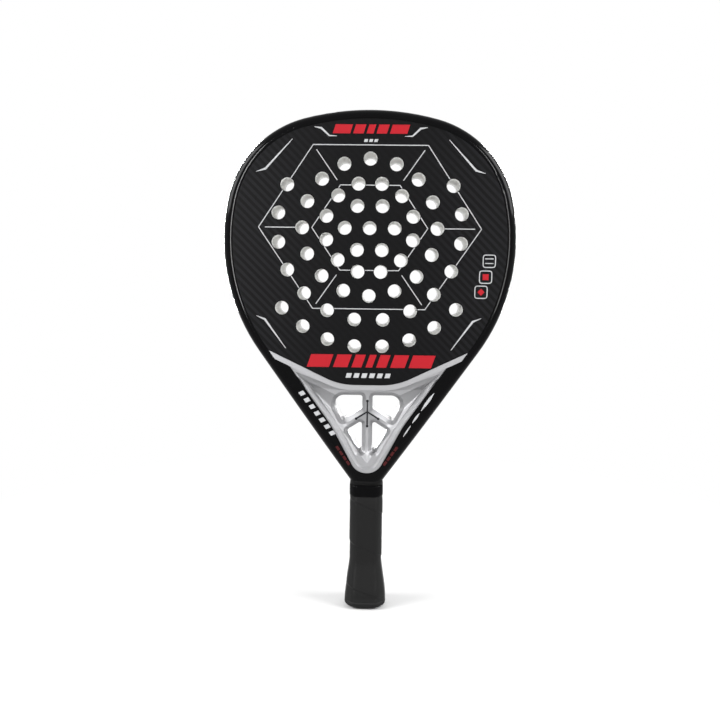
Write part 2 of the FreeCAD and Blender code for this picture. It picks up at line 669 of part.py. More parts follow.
def build_bridge():
    """Truss casting of the throat: a dished plate with a spoke, two slanting members and four
    bevelled openings, grooved for the dark inlay on both sides.
    """
    body = new_body("throat_bridge")
    outline = throat_sketch(body, "bridge_outline", "bond_gap", "bond_gap")
    add_pad(body, "plate", outline, INNER_THICKNESS, symmetric=True)
    taper_cut(body, "bridge_taper", f"({INNER_THICKNESS} / 2)", f"({FOOT_DEEP} - bond_gap)")
    for side, sign in (("front", 1), ("back", -1)):
        upper = throat_sketch(
            body,
            f"{side}_dish_lip",
            "dish_lip",
            "(band_width + dish_end_lip)",
            f"{sign} * head_thickness / 2",
        )
        lower = throat_sketch(
            body,
            f"{side}_dish_floor",
            "(dish_lip + dish_slope)",
            "(band_width + dish_end_lip + dish_end_slope)",
            f"{sign} * truss_thickness / 2",
            "gusset_angle",
        )
        add_loft(body, f"{side}_dish", "Subtractive", [upper, lower])
    side_foot = f"({OPENING_TOP} - opening_side)"
    outer_side = throat_at(BORDER, side_foot)
    openings = {
        "upper": [
            (f"({MEMBER} / 2)", OPENING_TOP),
            spoke_corner(1),
            web_corner(1),
            (outer_side, side_foot),
            (outer_side, OPENING_TOP),
        ],
        "lower": [
            spoke_corner(-1),
            (f"({MEMBER} / 2)", f"({throat_apex(BORDER)} + {MEMBER} / 2 / tan({THROAT}))"),
            web_corner(-1),
        ],
    }
    for name, corners in openings.items():
        draw = Drawing(body, f"{name}_opening_outline")
        draw.polygon(corners)
        pocket = add_pocket(body, f"{name}_opening", draw.sketch)
        mirrored = body.newObject("PartDesign::Mirrored", f"{name}_openings")
        mirrored.Originals = [pocket]
        mirrored.MirrorPlane = (origin_of(body, "YZ_Plane"), [""])
        body.Tip = mirrored
    doc.recompute()
    both = [(f"{turn} * {across}", up) for turn in (1, -1) for across, up in openings["upper"][4:]]
    edges = upright_edges(body.Tip, both)
    outer = add_dressing(body, "Fillet", "outer_corners", body.Tip, edges, Radius="opening_radius")
    others = openings["upper"][:4] + openings["lower"]
    both = [(f"{turn} * {across}", up) for turn in (1, -1) for across, up in others]
    edges = upright_edges(outer, both)
    corners = add_dressing(body, "Fillet", "inner_corners", outer, edges, Radius="corner_radius")
    half = value("truss_thickness / 2")
    bottom, top = value(openings["lower"][1][1]), value(OPENING_TOP) + 0.1

    def on_opening(mid):
        inside = abs(mid.x) < value(throat_at(f"({BORDER} - side_rib)", mid.z))
        return abs(abs(mid.y) - half) < 0.01 and inside and bottom < mid.z < top

    edges = edges_where(corners, on_opening)
    add_dressing(body, "Chamfer", "bevels", corners, edges, Size="bevel_width")
    for side, sign in (("front", 1), ("back", -1)):
        for drawing in inlay_drawings(body, side, f"{sign} * truss_thickness / 2", "bond_gap / 2"):
            add_pocket(body, f"{drawing.Name}_groove", drawing, "inlay_depth", towards_normal=sign < 0)


def inlay_drawings(body, side, level, grow):
    """Outlines of the dark inlay, widened by grow: an upright bar, two slanting bars, four dots."""
    half = f"(inlay_width / 2 + {grow})"
    bar = Drawing(body, f"{side}_inlay_bar", offset=level)
    bar.polygon([
        (half, f"({NODE} + inlay_up)"),
        (f"-{half}", f"({NODE} + inlay_up)"),
        (f"-{half}", f"({NODE} - inlay_down)"),
        (half, f"({NODE} - inlay_down)"),
    ])
    drawings = [bar.sketch]
    for name, turn in (("right", 1), ("left", -1)):
        end = ("(inlay_side * cos(web_angle))", f"({NODE} - inlay_side * sin(web_angle))")
        off = (f"({half} * sin(web_angle))", f"({half} * cos(web_angle))")
        arm = Drawing(body, f"{side}_inlay_{name}", offset=level)
        arm.polygon([
            (f"{turn} * {off[0]}", f"{NODE} + {off[1]}"),
            (f"-1 * {turn} * {off[0]}", f"{NODE} - {off[1]}"),
            (f"{turn} * ({end[0]} - {off[0]})", f"{end[1]} - {off[1]}"),
            (f"{turn} * ({end[0]} + {off[0]})", f"{end[1]} + {off[1]}"),
        ])
        drawings.append(arm.sketch)
    dots = Drawing(body, f"{side}_inlay_dots", offset=level)
    size = f"inlay_dot + 2 * {grow}"
    dots.circle("0", f"{NODE} + inlay_up", size)
    dots.circle("0", f"{NODE} - inlay_down", size)
    for turn in (1, -1):
        dots.circle(f"{turn} * {end[0]}", end[1], size)
    return drawings + [dots.sketch]


def build_inlay(side, sign):
    """Dark line let into one side of the truss."""
    body = new_body(f"bridge_inlay_{side}")
    for drawing in inlay_drawings(body, side, f"{sign} * (truss_thickness / 2 - inlay_depth)", "0"):
        pad = add_pad(body, f"{drawing.Name}_line", drawing, "inlay_depth")
        pad.Reversed = sign < 0


def build_foam():
    """Foam that fills the handle stem, hollowed for the knot of a wrist cord."""
    body = new_body("handle_foam")
    outline = octagon_sketch(body, "foam_outline", "cap_floor", stem_hollow("bond_gap"))
    add_pad(body, "foam", outline, f"{HOLLOW_DEPTH} - bond_gap")
    room = Drawing(body, "knot_room_outline", plane="XY_Plane", offset="cap_floor")
    room.circle("0", "0", "knot_room_diameter")
    add_pocket(body, "knot_room", room.sketch, "knot_room_depth", towards_normal=True)


def build_butt_cap():
    """Moulded butt cap: an end plate, a tapered skirt round the stem and the cord hole."""
    body = new_body("butt_cap")
    plate = octagon_sketch(body, "plate_outline", "0", ("cap_width", "cap_depth", "cap_bevel"))
    plate_pad = add_pad(body, "plate", plate, "cap_floor")
    edges = edges_where(plate_pad, lambda mid: mid.z < 0.01)
    add_dressing(body, "Fillet", "lower_edge", plate_pad, edges, Radius="cap_edge_radius")
    lower = octagon_sketch(body, "skirt_foot", "cap_floor", skirt_section("skirt_flare", "0"))
    upper = octagon_sketch(body, "skirt_top", "skirt_height", skirt_section("0", "0"))
    add_loft(body, "skirt", "Additive", [lower, upper])
    socket = octagon_sketch(
        body,
        "socket_outline",
        "skirt_height",
        ("stem_width + 2 * bond_gap", "stem_depth + 2 * bond_gap", "stem_bevel"),
    )
    add_pocket(body, "socket", socket, "skirt_height - cap_floor")
    cord = Drawing(body, "cord_hole_outline", plane="XY_Plane")
    cord.circle("0", "0", "cord_hole_diameter")
    add_pocket(body, "cord_hole", cord.sketch, "cap_floor", towards_normal=True)


def skirt_section(flare, gap):
    """Width, depth and corner of the skirt, widened by flare and by gap on every side."""
    more = f"2 * (skirt_wall + {flare} + {gap})"
    return f"stem_width + {more}", f"stem_depth + {more}", f"stem_bevel + 0.5 * {flare}"


def grip_section(narrower):
    """Width, depth and corner of the grip, less narrower on every side."""
    more = f"2 * (grip_thickness - {narrower})"
    return f"stem_width + {more}", f"stem_depth + {more}", "grip_bevel"


def build_grip():
    """Wrapped grip: straight on the stem, with a waist, then flaring over the cap's skirt."""
    body = new_body("base_grip")
    flare = ("cap_width", "cap_depth", "cap_bevel")
    outside = [
        octagon_sketch(body, "grip_foot", "cap_floor", flare),
        octagon_sketch(body, "grip_flare", "grip_flare_height", flare),
        octagon_sketch(body, "grip_waist_outline", "grip_waist_height", grip_section("grip_waist")),
        octagon_sketch(body, "grip_top", GRIP_TOP, grip_section("0")),
    ]
    add_loft(body, "grip", "Additive", outside)
    doc.recompute()
    on_stem = ("stem_width + 2 * bond_gap", "stem_depth + 2 * bond_gap", "stem_bevel")
    inside = [
        octagon_sketch(body, "skirt_foot_room", "cap_floor", skirt_section("skirt_flare", "bond_gap")),
        octagon_sketch(body, "skirt_top_room", "skirt_height", skirt_section("0", "bond_gap")),
        octagon_sketch(body, "stem_room", "skirt_height + cap_floor", on_stem),
        octagon_sketch(body, "stem_room_top", GRIP_TOP, on_stem),
    ]
    add_loft(body, "grip_room", "Subtractive", inside)


def build_collar():
    """Rubber collar between the grip and the flanks' foot."""
    body = new_body("grip_collar")
    on_stem = ("stem_width + 2 * bond_gap", "stem_depth + 2 * bond_gap", "stem_bevel")
    outline = octagon_sketch(body, "collar_outline", GRIP_TOP, grip_section("0"), on_stem)
    add_pad(body, "collar", outline, "collar_length")


def build_tape():
    """Glossy band that closes the upper end of the grip."""
    body = new_body("finishing_tape")
    outside = grip_section("(-tape_thickness - bond_gap / 2)")
    inside = grip_section("(-bond_gap / 2)")
    start = f"{GRIP_TOP} + tape_lap - tape_length"
    outline = octagon_sketch(body, "tape_outline", start, outside, inside)
    add_pad(body, "tape", outline, "tape_length")


def check_model():
    """Every object computes, and every shape is sound."""
    for item in doc.Objects:
        if "Invalid" in item.State or "Error" in item.State:
            raise RuntimeError(f"{item.Name}: {item.State}")
        shape = getattr(item, "Shape", None)
        if shape is not None and item.TypeId == "PartDesign::Body":
            if shape.isNull() or not shape.isValid():
                raise RuntimeError(f"{item.Name} is not sound")


def export_parts():
    os.makedirs("parts", exist_ok=True)
    for body in doc.findObjects("PartDesign::Body"):
        body.Shape.exportStep(f"parts/{body.Label}.step")


build_frame()
build_core()
for side, sign in (("front", 1), ("back", -1)):
    build_face(side, sign)
    build_band(side, sign)
build_bridge()
for side, sign in (("front", 1), ("back", -1)):
    build_inlay(side, sign)
build_foam()
build_butt_cap()
build_grip()
build_collar()
build_tape()
doc.recompute()
check_model()
export_parts()
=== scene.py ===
"""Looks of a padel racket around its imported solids: lacquered frame, drilled faces, silver truss
bridge, wrapped grip, printed trim and a plain studio.

Laid out as a Blender add-on and run as a script. Sizes are in metres in the racket's own frame:
+Z up the handle, front face towards -Y, origin at the centre of the butt.
"""

import math

import bmesh
import bpy
import numpy as np
from bpy.props import FloatProperty, FloatVectorProperty, PointerProperty
from bpy.types import Operator, Panel, PropertyGroup
from mathutils import Matrix, Vector


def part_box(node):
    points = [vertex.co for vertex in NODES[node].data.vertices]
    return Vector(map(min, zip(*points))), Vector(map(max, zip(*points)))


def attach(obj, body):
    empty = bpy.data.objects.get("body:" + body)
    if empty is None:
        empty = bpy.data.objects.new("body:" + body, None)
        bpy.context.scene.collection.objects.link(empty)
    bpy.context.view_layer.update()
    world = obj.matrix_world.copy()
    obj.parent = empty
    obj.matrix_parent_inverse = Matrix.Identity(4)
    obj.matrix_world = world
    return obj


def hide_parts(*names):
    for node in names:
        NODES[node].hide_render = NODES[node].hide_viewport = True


bl_info = {
    "name": "Padel racket looks",
    "version": (1, 0, 0),
    "blender": (4, 5, 0),
    "location": "3D View > Sidebar > Racket",
    "description": "Builds the visible surfaces and finishes of a padel racket",
    "category": "Object",
}

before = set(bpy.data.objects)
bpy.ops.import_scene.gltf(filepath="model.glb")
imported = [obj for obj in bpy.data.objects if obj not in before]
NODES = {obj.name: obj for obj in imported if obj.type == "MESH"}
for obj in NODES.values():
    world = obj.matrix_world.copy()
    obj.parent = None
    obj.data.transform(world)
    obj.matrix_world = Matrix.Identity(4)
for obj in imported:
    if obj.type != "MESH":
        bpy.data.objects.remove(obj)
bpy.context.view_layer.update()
MM = 0.001


def linear(hex_colour):
    """Linear colour of an sRGB hex value."""
    srgb = np.array([int(hex_colour[i : i + 2], 16) / 255 for i in (1, 3, 5)])
    return tuple(np.where(srgb <= 0.04045, srgb / 12.92, ((srgb + 0.055) / 1.055) ** 2.4))


def length(name, description, millimetres):
    """A length that a user can set."""
    return FloatProperty(
        name=name, description=description, default=millimetres * MM, unit="LENGTH", subtype="DISTANCE"
    )


def colour(name, description, hex_colour):
    """A colour that a user can set."""
    return FloatVectorProperty(
        name=name, description=description, default=linear(hex_colour), size=3, subtype="COLOR", min=0, max=1
    )


class RacketSizes(PropertyGroup):
    """Sizes that a user would change."""

    wrap_pitch: length("Wrap pitch", "Rise of the grip's wrap in one turn", 41.4)
    wrap_step: length("Wrap step", "Height of each overlap of the wrap", 0.5)
    trim_line: length("Trim line", "Width of the printed silver lines", 0.75)
    stripe_pitch: length("Stripe pitch", "Spacing of the faint stripes in the laminate", 5.2)
    edge_softness: length("Edge softness", "Rounding of the bridge's painted edges", 0.5)


class RacketColours(PropertyGroup):
    """Colours of the racket's finishes."""

    lacquer: colour("Lacquer", "Gloss lacquer of the frame", "#060607")
    laminate: colour("Laminate", "Satin faces", "#101011")
    # Paler tows of the laminate. This colour is partly the tape's own and partly painted sheen.
    stripe_sheen: colour("Stripe", "Paler tape in the laminate", "#1c1c1e")
    foam: colour("Core foam", "Drilled core", "#fbfbf9")
    handle_foam: colour("Handle foam", "Foam in the stem", "#8a8986")
    silver: colour("Silver paint", "Truss bridge and bands", "#9d9d9f")
    inlay: colour("Inlay", "Dark line on the truss", "#232326")
    red: colour("Red ink", "Printed bars", "#b81b27")
    dark_red: colour("Dark red ink", "Printed marks on the legs", "#4c181a")
    pale: colour("Silver ink", "Printed lines and ticks", "#c4c5c7")
    grip: colour("Grip", "Synthetic wrap", "#1b1b1b")
    tape: colour("Tape", "Film band over the grip's end", "#060607")
    rubber: colour("Collar", "Rubber collar", "#0c0c0c")
    cap: colour("Butt cap", "Moulded cap", "#1c1c1c")
    floor: colour("Floor", "Studio floor", "#d6d6d6")


def sizes():
    """The scene's sizes."""
    return bpy.context.scene.racket_sizes


def colours():
    """The scene's colours."""
    return bpy.context.scene.racket_colours


# Materials


def add(tree, kind, settings=(), feeds=(), **inputs):
    """Adds a node, sets its properties and inputs, and links sockets into it.

    settings holds (property, value) pairs. feeds holds (input, source) pairs, where a source is a
    socket to link or a constant, for inputs that have no name of their own.
    """
    node = tree.nodes.new(kind)
    for prop, setting in settings:
        setattr(node, prop, setting)
    for name, constant in inputs.items():
        node.inputs[name.replace("_", " ")].default_value = constant
    for name, source in feeds:
        if isinstance(source, bpy.types.NodeSocket):
            tree.links.new(source, node.inputs[name])
        else:
            node.inputs[name].default_value = source
    return node


def new_finish(name, base, roughness, **inputs):
    """A material with one Principled shader; returns the material, its tree and the shader."""
    material = bpy.data.materials.new(name)
    material.use_nodes = True
    material.diffuse_color = (*base, 1)
    tree = material.node_tree
    shader = tree.nodes["Principled BSDF"]
    shader.inputs["Base Color"].default_value = (*base, 1)
    shader.inputs["Roughness"].default_value = roughness
    for name, constant in inputs.items():
        shader.inputs[name.replace("_", " ")].default_value = constant
    return material, tree, shader


def wear(piece, material):
    """Puts the material on a piece as its only slot."""
    piece.data.materials.clear()
    piece.data.materials.append(material)


def gloss_lacquer():
    """Clear polyurethane lacquer over black-painted carbon: deep black with a crisp reflection,
    broken by the slight orange peel of a sprayed coat.
    """
    material, tree, shader = new_finish(
        "Gloss lacquer on carbon", colours().lacquer, 0.09, Specular_IOR_Level=0.07
    )
    place = add(tree, "ShaderNodeTexCoord").outputs["Object"]
    # Orange peel cells of sprayed lacquer are about 2 mm across.
    peel = add(tree, "ShaderNodeTexNoise", feeds=[("Vector", place)], Scale=1 / (2 * MM), Detail=1)
    height = [("Height", peel.outputs["Fac"])]
    bump = add(tree, "ShaderNodeBump", feeds=height, Strength=0.03, Distance=0.2 * MM)
    tree.links.new(bump.outputs["Normal"], shader.inputs["Normal"])
    return material


def satin_laminate():
    """Satin lacquer over unidirectional carbon tape laid on the diagonal: near black, with faint
    paler tows. Their paler colour is partly the tape's own and partly painted sheen, which grows towards the
    edges of the head.
    """
    material, tree, shader = new_finish(
        "Satin lacquer on carbon tape", colours().laminate, 0.42, Specular_IOR_Level=0.04
    )
    place = add(tree, "ShaderNodeTexCoord").outputs["Object"]
    x, _, z = add(tree, "ShaderNodeSeparateXYZ", feeds=[("Vector", place)]).outputs
    # The tows fall at 45 degrees to the right: X plus Z is root two times the distance across them.
    diagonal = add(tree, "ShaderNodeMath", [("operation", "ADD")], [(0, x), (1, z)]).outputs[0]
    pace = 2 * math.pi / (sizes().stripe_pitch * math.sqrt(2))
    phase = add(tree, "ShaderNodeMath", [("operation", "MULTIPLY")], [(0, diagonal), (1, pace)]).outputs[0]
    wave = add(tree, "ShaderNodeMath", [("operation", "SINE")], [(0, phase)]).outputs[0]
    side = add(tree, "ShaderNodeMath", [("operation", "ABSOLUTE")], [(0, x)]).outputs[0]
    # Painted sheen: the tows come out little by little between 20 and 110 mm from the middle, as their sheen
    # would; their borders are soft.
    sheen_outwards = add(
        tree,
        "ShaderNodeMapRange",
        [("interpolation_type", "SMOOTHSTEP")],
        [("Value", side)],
        From_Min=20 * MM,
        From_Max=110 * MM,
        To_Min=0.12,
        To_Max=1.0,
    ).outputs["Result"]
    tow = add(
        tree,
        "ShaderNodeMapRange",
        [("interpolation_type", "SMOOTHSTEP")],
        [("Value", wave)],
        From_Min=-0.3,
        From_Max=0.3,
    ).outputs["Result"]
    # Painted sheen: the tows are mixed towards the paler colour most towards the edges of the head.
    tow_sheen_amount = add(tree, "ShaderNodeMath", [("operation", "MULTIPLY")], [(0, tow), (1, sheen_outwards)]).outputs[0]
    # Sockets 6 and 7 are the Mix node's two colours, and its third output is their mix.
    tones = [(6, (*colours().laminate, 1)), (7, (*colours().stripe_sheen, 1))]
    mix = add(tree, "ShaderNodeMix", [("data_type", "RGBA")], [("Factor", tow_sheen_amount), *tones])
    tree.links.new(mix.outputs[2], shader.inputs["Base Color"])
    return material


def eva_foam():
    """Closed-cell EVA foam, cut by the drill: white, matt and slightly open-pored."""
    material, tree, shader = new_finish("EVA foam", colours().foam, 0.85, Specular_IOR_Level=0.3)
    place = add(tree, "ShaderNodeTexCoord").outputs["Object"]
    # Cut cells are about 0.4 mm across.
    cells = add(tree, "ShaderNodeTexVoronoi", feeds=[("Vector", place)], Scale=1 / (0.4 * MM))
    height = [("Height", cells.outputs["Distance"])]
    bump = add(tree, "ShaderNodeBump", feeds=height, Strength=0.2, Distance=0.2 * MM)
    tree.links.new(bump.outputs["Normal"], shader.inputs["Normal"])
    return material


def silver_paint(name):
    """Silver paint sprayed on a moulded composite: mid grey, with a soft metallic sheen from its
    aluminium flake under a satin lacquer. Returns the material, its tree and the shader.
    """
    material, tree, shader = new_finish(name, colours().silver, 0.4, Metallic=0.35, Specular_IOR_Level=0.2)
    place = add(tree, "ShaderNodeTexCoord").outputs["Object"]
    # Paint flake is about 0.05 mm; it is drawn at 0.5 mm, the finest that shows.
    flake = add(tree, "ShaderNodeTexNoise", feeds=[("Vector", place)], Scale=1 / (0.5 * MM), Detail=1)
    rough = add(
        tree,
        "ShaderNodeMapRange",
        feeds=[("Value", flake.outputs["Fac"])],
        From_Min=0.3,
        From_Max=0.7,
        To_Min=0.36,
        To_Max=0.46,
    )
    tree.links.new(rough.outputs["Result"], shader.inputs["Roughness"])
    return material, tree, shader


def edge_distance(tree, place, point, facing):
    """Distance from a straight edge that runs through a point (across, up), growing the way that
    the edge faces: the place less the point, times the direction of that angle above level.
    """
    start = (point[0], 0, point[1])
    away = add(tree, "ShaderNodeVectorMath", [("operation", "SUBTRACT")], [(0, place), (1, start)])
    ahead = (math.cos(facing), 0, math.sin(facing))
    feeds = [(0, away.outputs["Vector"]), (1, ahead)]
    return add(tree, "ShaderNodeVectorMath", [("operation", "DOT_PRODUCT")], feeds).outputs["Value"]


def fall(tree, distance, start, reach, height):
    """A height that falls away to nothing from one distance on, steeply at first: it goes with the
    square of the share of the reach that is left.
    """
    share = add(
        tree,
        "ShaderNodeMapRange",
        feeds=[("Value", distance)],
        From_Min=start,
        From_Max=start + reach,
        To_Min=1.0,
        To_Max=0.0,
    ).outputs["Result"]
    square = add(tree, "ShaderNodeMath", [("operation", "POWER")], [(0, share), (1, 2.0)]).outputs[0]
    return add(tree, "ShaderNodeMath", [("operation", "MULTIPLY")], [(0, square), (1, height)]).outputs[0]


def hollow_paint():
    """The bridge's silver paint. Its moulding is hollowed between the band and the legs: the
    surface falls from each of them and the two slopes meet in a soft crease, drawn as a bump.
    """
    material, tree, shader = silver_paint("Silver paint on hollow moulding")
    place = add(tree, "ShaderNodeTexCoord").outputs["Object"]
    half = add(tree, "ShaderNodeVectorMath", [("operation", "ABSOLUTE")], [(0, place)]).outputs["Vector"]
    # The band's lower edge rises outwards by 25.6 degrees from a point 28 mm from the middle; the
    # leg's inner edge leans outwards by 36.7 degrees from upright.
    below_band = math.radians(25.6 - 90)
    inside_leg = math.radians(180 - 36.7)
    from_band = edge_distance(tree, half, (28 * MM, 208.3 * MM), below_band)
    from_leg = edge_distance(tree, half, (36.7 * MM, 181.1 * MM), inside_leg)
    slopes = [
        (0, fall(tree, from_band, 5 * MM, 20 * MM, 6 * MM)),
        (1, fall(tree, from_leg, 4.6 * MM, 10 * MM, 3.5 * MM)),
        (2, 1.5 * MM),
    ]
    level = add(tree, "ShaderNodeMath", [("operation", "SMOOTH_MAX")], slopes).outputs[0]
    hollow = add(tree, "ShaderNodeBump", feeds=[("Height", level)], Strength=1.0, Distance=1.0)
    tree.links.new(hollow.outputs["Normal"], shader.inputs["Normal"])
    return material


def epoxy_inlay():
    """Dark epoxy run into a groove: smooth and slightly glossy."""
    return new_finish("Dark epoxy inlay", colours().inlay, 0.35, Specular_IOR_Level=0.15)[0]


def screen_ink(name, base, roughness):
    """Screen ink: thin, even and satin."""
    return new_finish(name, base, roughness, Specular_IOR_Level=0.1)[0]


def synthetic_wrap():
    """Polyurethane grip wrap: matt black with a fine pressed grain."""
    material, tree, shader = new_finish("Polyurethane wrap", colours().grip, 0.36, Specular_IOR_Level=0.1)
    place = add(tree, "ShaderNodeTexCoord").outputs["Object"]
    # The pressed grain is 0.8 mm across.
    grain = add(tree, "ShaderNodeTexVoronoi", feeds=[("Vector", place)], Scale=1 / (0.8 * MM))
    height = [("Height", grain.outputs["Distance"])]
    bump = add(tree, "ShaderNodeBump", feeds=height, Strength=0.25, Distance=0.3 * MM)
    tree.links.new(bump.outputs["Normal"], shader.inputs["Normal"])
    return material


def pvc_film():
    """PVC film, stretched round the grip's end: thin and glossy."""
    return new_finish("PVC film", colours().tape, 0.15, Specular_IOR_Level=0.05)[0]


def moulded_rubber():
    """Natural rubber, moulded: matt black."""
    return new_finish("Moulded rubber", colours().rubber, 0.45, Specular_IOR_Level=0.08)[0]


def moulded_nylon():
    """Glass-filled nylon, moulded with a fine spark-eroded grain: dark and matt."""
    return new_finish("Moulded nylon", colours().cap, 0.5, Specular_IOR_Level=0.1)[0]


def rigid_foam():
    """Rigid polyurethane foam, cut flat: grey and matt, hidden in the stem."""
    return new_finish("Rigid handle foam", colours().handle_foam, 0.8)[0]


# Meshes


def new_piece(name, vertices, faces, material, smooth=True):
    """A mesh object at the origin from an array of points and an array of faces."""
    mesh = bpy.data.meshes.new(name)
    mesh.from_pydata(vertices, [], faces.tolist())
    mesh.update()
    mesh.polygons.foreach_set("use_smooth", np.full(len(mesh.polygons), smooth))
    piece = bpy.data.objects.new(name, mesh)
    bpy.context.scene.collection.objects.link(piece)
    wear(piece, material)
    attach(piece, "root")
    return piece


def outward(piece):
    """Turns every face of closed shells outwards."""
    shell = bmesh.new()
    shell.from_mesh(piece.data)
    bmesh.ops.recalc_face_normals(shell, faces=shell.faces)
    shell.to_mesh(piece.data)
    shell.free()


def softened(node, material, name):
    """A merged copy of a CAD node, shown in its place: its flats are joined to one face each, and
    edges sharper than 24 degrees are rounded by a bevel.
    """
    mesh = NODES[node].data.copy()
    mesh.name = name
    shell = bmesh.new()
    shell.from_mesh(mesh)
    bmesh.ops.remove_doubles(shell, verts=shell.verts, dist=0.002 * MM)
    bmesh.ops.dissolve_limit(
        shell, angle_limit=math.radians(1), verts=shell.verts, edges=shell.edges, delimit={"NORMAL"}
    )
    shell.to_mesh(mesh)
    shell.free()
    if "custom_normal" in mesh.attributes:
        mesh.attributes.remove(mesh.attributes["custom_normal"])
    piece = bpy.data.objects.new(name, mesh)
    bpy.context.scene.collection.objects.link(piece)
    wear(piece, material)
    bevel = piece.modifiers.new("Soft edges", "BEVEL")
    bevel.width = sizes().edge_softness
    bevel.segments = 2
    bevel.limit_method = "ANGLE"
    bevel.angle_limit = math.radians(24)
    bevel.use_clamp_overlap = True
    bevel.harden_normals = True
    mesh.polygons.foreach_set("use_smooth", np.ones(len(mesh.polygons), bool))
    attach(piece, "root")
    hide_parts(node)


# Printed trim

# The drilled holes' radius and the height of their centre; where the throat starts to thin, and
# the foot of the legs, where it is thinnest.
HEAD = {"hole": 6 * MM, "centre": 353 * MM, "taper": 212.5 * MM, "foot": 123 * MM}
# Half thickness of the rim, of the faces and at that foot.
THICK = {"rim": 19 * MM, "face": 18.9 * MM, "foot": 13.9 * MM}
# Each ring of holes: radius in mm, first hole and step to the next in degrees, number of holes.
RINGS = (
    (0, 0, 0, 1),
    (22, 0, 60, 6),
    (39.5, 15, 30, 12),
    (59.5, 0, 22.5, 16),
    (81.5, 27, -18, 14),
    (105, -42.4, -13.6, 8),
)
# Height of the ink above the lacquer.
INK = 0.05 * MM
# Centres of the three badges by the rim, from the top down, in mm.
BADGES = ((105.7, 325.3), (102.9, 311.4), (99.2, 298.1))


def hole_centres():
    """Centres (x, z) of the drilled holes, ring by ring."""
    spots = []
    for radius, start, step, count in RINGS:
        turn = np.radians(start + step * np.arange(count))
        spot = np.stack([radius * np.cos(turn), radius * np.sin(turn)], -1) * MM
        spots.append(spot + [0, HEAD["centre"]])
    return np.concatenate(spots)


def face_level(height):
    """Half thickness of the racket at a height: constant, then thinning along a circular arc."""
    drop = HEAD["taper"] - HEAD["foot"]
    thinning = THICK["rim"] - THICK["foot"]
    radius = (drop**2 + thinning**2) / (2 * thinning)
    below = np.clip(HEAD["taper"] - height, 0, None)
    return THICK["rim"] - radius + np.sqrt(radius**2 - below**2)


def stroke(points, widths, step=0.5 * MM, gap=0.4 * MM):
    """A line of ink as quads in the face plane: the points are joined by straight runs, resampled
    evenly, widened to both sides along the mitred normal, and left out over the drilled holes.
    Points and widths are in mm; there is one width, or one to a point.
    """
    points = np.array(points, float) * MM
    widths = np.broadcast_to(np.array(widths, float) * MM, len(points))
    runs = np.linalg.norm(np.diff(points, axis=0), axis=1)
    reach = np.concatenate([[0], np.cumsum(runs)])
    along = np.unique(np.concatenate([np.arange(0, reach[-1], step), reach]))
    line = np.stack([np.interp(along, reach, points[:, axis]) for axis in (0, 1)], -1)
    width = np.interp(along, reach, widths)
    ahead = np.gradient(line, axis=0)
    ahead /= np.linalg.norm(ahead, axis=1, keepdims=True)
    side = np.stack([-ahead[:, 1], ahead[:, 0]], -1) * width[:, None] / 2
    right, left = line - side, line + side
    corners = np.stack([right[:-1], right[1:], left[1:], left[:-1]], 1)
    spans = corners.mean(1)[:, None] - hole_centres()[None]
    clear = np.linalg.norm(spans, axis=-1).min(1) > HEAD["hole"] + gap
    return corners[clear]


def bar(x, z, width, height, lean=0.0, turn=0.0):
    """A bar of ink, in mm, with its lower left corner at (x, z): its top is shifted by lean, and it
    is turned about its middle by turn degrees.
    """
    corners = np.array([[x, z], [x + width, z], [x + width + lean, z + height], [x + lean, z + height]])
    middle = corners.mean(0)
    cos, sin = math.cos(math.radians(turn)), math.sin(math.radians(turn))
    return ((corners - middle) @ np.array([[cos, sin], [-sin, cos]]) + middle)[None] * MM


def bar_row(start, z, widths, gap, height, lean):
    """A row of leaning bars of the given widths, from start to the right."""
    bars = []
    for width in widths:
        bars.append(bar(start, z, width, height, lean))
        start += width + gap
    return bars


def mirrored(points):
    """The same points on the other side of the middle."""
    return [(-x, z) for x, z in points]


def printed(name, quads, material):
    """Slabs of ink on the front and, turned half round, on the back. Each quad lies in the face
    plane, or follows the thinning of the legs, and the slab reaches as far under it as over it.
    """
    across, up = np.concatenate(quads).reshape(-1, 2).T
    level = np.where(up < HEAD["taper"], face_level(up), THICK["face"])
    slabs = []
    for side in (1, -1):
        sheets = []
        for depth in (level - INK, np.minimum(level + INK, THICK["rim"])):
            sheets.append(np.stack([side * across, -side * depth, up], -1).reshape(-1, 4, 3))
        slabs.append(np.concatenate(sheets, axis=1))
    slabs = np.concatenate(slabs)
    # A slab's corners are 0 to 3 underneath and 4 to 7 on top.
    walls = np.array([[4, 5, 6, 7], [3, 2, 1, 0], [0, 1, 5, 4], [1, 2, 6, 5], [2, 3, 7, 6], [3, 0, 4, 7]])
    faces = 8 * np.arange(len(slabs))[:, None, None] + walls
    piece = new_piece(name, slabs.reshape(-1, 3), faces.reshape(-1, 4), material, smooth=False)
    outward(piece)


def six_sided(scale):
    """Closed outline with six corners about the centre of the drilled rings."""
    corners = [(98, 0), (50, 71), (-50, 71), (-98, 0), (-50, -71), (50, -71), (98, 0)]
    return [(scale * x, HEAD["centre"] / MM + scale * z) for x, z in corners]


def trim_lines():
    """Silver lines: two nested six-sided outlines joined by runs from corner to corner, each run
    12 % short at both ends, and ticks and brackets towards the rim.
    """
    thin = sizes().trim_line / MM
    wide, small = six_sided(1), six_sided(0.52)
    quads = [stroke(wide, thin), stroke(small, thin)]
    for outer, inner in zip(np.array(wide[:-1]), np.array(small[:-1])):
        short = 0.12 * (inner - outer)
        quads.append(stroke([outer + short, inner - short], thin))
    ticks = {
        "upper": ([(-68, 428.7), (-91.7, 403.2), (-100, 400.6)], [0.5, 1.8, 0.3]),
        "lower": ([(-74, 246), (-92.7, 271.8), (-100.3, 274.9)], [0.5, 1.8, 0.3]),
        "bracket": ([(-49, 439), (-43, 438), (-36, 431.6), (-29.4, 431.4)], [0.4, 1.7, 1.2, 0.4]),
    }
    for points, widths in ticks.values():
        quads.append(stroke(points, widths))
        quads.append(stroke(mirrored(points), widths))
    return quads


